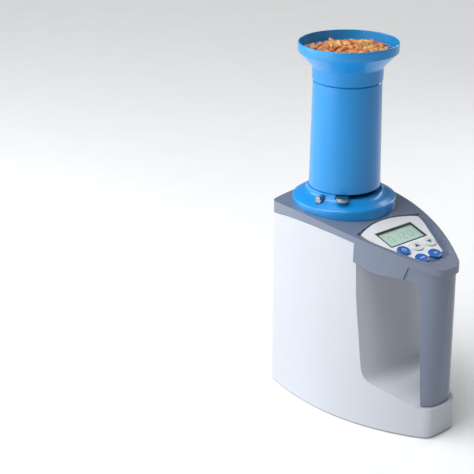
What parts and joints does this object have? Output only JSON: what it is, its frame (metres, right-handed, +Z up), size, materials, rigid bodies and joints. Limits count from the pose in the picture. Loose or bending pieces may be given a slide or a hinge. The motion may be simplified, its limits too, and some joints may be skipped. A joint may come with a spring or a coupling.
{
  "type": "grain moisture meter",
  "caption": "Desktop grain moisture meter: teardrop housing with carrying handle, sloped LCD and key panel, lift-off drop tube with rotary shutter, and a flared hopper.",
  "frame": {"origin": "middle of the footprint, on the table under the feet", "axes": "+Z up, -Y towards the display and handle, +X to the right as seen from the front"},
  "size_m": [0.1345, 0.2156, 0.388],
  "materials": {
    "white_shell": "smooth satin moulding",
    "grey_cover": "blue-grey pearl, semi-gloss",
    "pale_plastic": "fine texture",
    "rubber_foot": "matte",
    "screw_steel": "zinc plated",
    "dark_plastic": "fine texture",
    "cell_sleeve": "printed sleeve colour only",
    "aluminium_part": "machined",
    "electrode_steel": "turned and polished",
    "circuit_board": "solder mask",
    "lcd_body": "pale green reflective display",
    "lcd_frame": "dark printed border",
    "lcd_glass": "clear, glossy",
    "silver_overlay": "silver film, satin",
    "blue_key": "smooth, slightly domed",
    "white_key": "smooth, slightly domed",
    "blue_plastic": "glossy moulding",
    "chrome_part": "polished"
  },
  "bodies": {
    "housing": {"lower_housing": "white_shell", "top_cover": "grey_cover", "handle_column": "grey_cover", "base_plate": "pale_plastic", "chamber_base": "pale_plastic", "foot_1": "rubber_foot", "foot_2": "rubber_foot", "foot_3": "rubber_foot", "foot_4": "rubber_foot", "base_screw_1": "screw_steel", "base_screw_2": "screw_steel", "base_screw_3": "screw_steel", "base_screw_4": "screw_steel", "battery_tray": "dark_plastic", "chamber_collar": "dark_plastic", "battery_cell_1": "cell_sleeve", "battery_cell_2": "cell_sleeve", "battery_cell_3": "cell_sleeve", "battery_cell_4": "cell_sleeve", "load_cell_bracket": "aluminium_part", "load_cell_beam": "aluminium_part", "outer_electrode": "electrode_steel", "inner_electrode": "electrode_steel", "temperature_probe": "electrode_steel", "main_board": "circuit_board", "key_board": "circuit_board", "lcd_module": "lcd_body", "lcd_bezel": "lcd_frame", "lcd_window": "lcd_glass", "display_overlay": "silver_overlay"},
    "battery_door": {"battery_door": "white_shell"},
    "dropper": {"flange_ring": "blue_plastic", "drop_tube": "blue_plastic", "drop_grate": "dark_plastic", "shutter_pivot": "chrome_part"},
    "shutter": {"shutter_disc": "electrode_steel", "shutter_lever": "chrome_part"},
    "release_button": {"release_button": "chrome_part"},
    "hopper": {"hopper_funnel": "blue_plastic"},
    "key_power": {"key_power": "blue_key"},
    "key_up": {"key_up": "white_key"},
    "key_down": {"key_down": "white_key"},
    "key_select": {"key_select": "blue_key"},
    "key_measure": {"key_measure": "blue_key"}
  },
  "joints": [
    {"name": "dropper_lift", "type": "slide", "parent": "housing", "child": "dropper", "axis": [0, 0, 1], "range_m": [0, 0.15]},
    {"name": "hopper_lift", "type": "slide", "parent": "dropper", "child": "hopper", "axis": [0, 0, 1], "range_m": [0, 0.04]},
    {"name": "shutter_turn", "type": "hinge", "parent": "dropper", "child": "shutter", "pos_m": [0, 0.04815, 0.2287], "axis": [0, 0, 1], "range_deg": [0, 80]},
    {"name": "release_press", "type": "slide", "parent": "dropper", "child": "release_button", "axis": [0.9781, 0.2079, 0], "range_m": [0, 0.002], "stiffness_N_per_m": 600},
    {"name": "battery_door_drop", "type": "slide", "parent": "housing", "child": "battery_door", "axis": [0, 0, -1], "range_m": [0, 0.03]},
    {"name": "key_power_press", "type": "slide", "parent": "housing", "child": "key_power", "axis": [0, 0.2756, -0.9613], "range_m": [0, 0.0008], "stiffness_N_per_m": 600},
    {"name": "key_up_press", "type": "slide", "parent": "housing", "child": "key_up", "axis": [0, 0.2756, -0.9613], "range_m": [0, 0.0008], "stiffness_N_per_m": 600},
    {"name": "key_down_press", "type": "slide", "parent": "housing", "child": "key_down", "axis": [0, 0.2756, -0.9613], "range_m": [0, 0.0008], "stiffness_N_per_m": 600},
    {"name": "key_select_press", "type": "slide", "parent": "housing", "child": "key_select", "axis": [0, 0.2756, -0.9613], "range_m": [0, 0.0008], "stiffness_N_per_m": 600},
    {"name": "key_measure_press", "type": "slide", "parent": "housing", "child": "key_measure", "axis": [0, 0.2756, -0.9613], "range_m": [0, 0.0008], "stiffness_N_per_m": 600}
  ]
}
